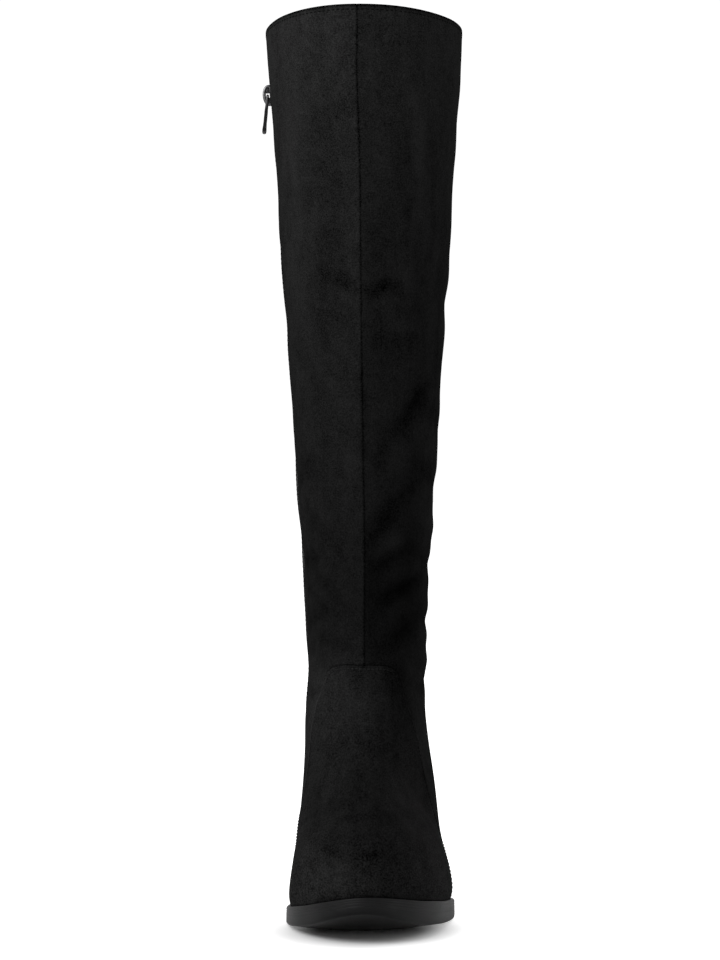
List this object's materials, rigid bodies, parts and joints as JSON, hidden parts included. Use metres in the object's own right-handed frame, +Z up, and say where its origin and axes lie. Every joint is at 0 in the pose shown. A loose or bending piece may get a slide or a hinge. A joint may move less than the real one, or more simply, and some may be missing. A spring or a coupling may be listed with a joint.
{
  "type": "over-the-knee boot",
  "caption": "Left over-the-knee boot of black faux suede with a rounded toe, a stacked block heel, a long zip on the inner side and a hanging zip pull.",
  "frame": {"origin": "centre of the heel's floor face, on the floor plane that the forefoot also touches", "axes": "+Z up, -Y to the toe, +Y to the heel, +X to the lateral (outer) side, -X to the medial (inner) side with the zip"},
  "size_m": [0.1206, 0.2805, 0.5232],
  "materials": {
    "black_suede": "matt brushed nap",
    "dark_sole_resin": "satin, fine lines along the edge",
    "footbed_lining": "plain matt sock",
    "black_heel_stack": "satin, fine lines of the stack",
    "black_rubber": "matt",
    "black_zip_coil": "nylon coil on woven tape",
    "gunmetal": "dark plated, smooth"
  },
  "bodies": {
    "boot": {"upper": "black_suede", "outsole": "dark_sole_resin", "insole": "footbed_lining", "heel": "black_heel_stack", "top_lift": "black_rubber", "zip_chain": "black_zip_coil", "zip_slider": "gunmetal"},
    "zip_pull": {"zip_pull": "gunmetal"}
  },
  "joints": [
    {"name": "zip_pull_swing", "type": "hinge", "parent": "boot", "child": "zip_pull", "pos_m": [-0.05894, -0.01231, 0.47939], "axis": [0, 1, 0], "range_deg": [-5.5, 150]}
  ]
}
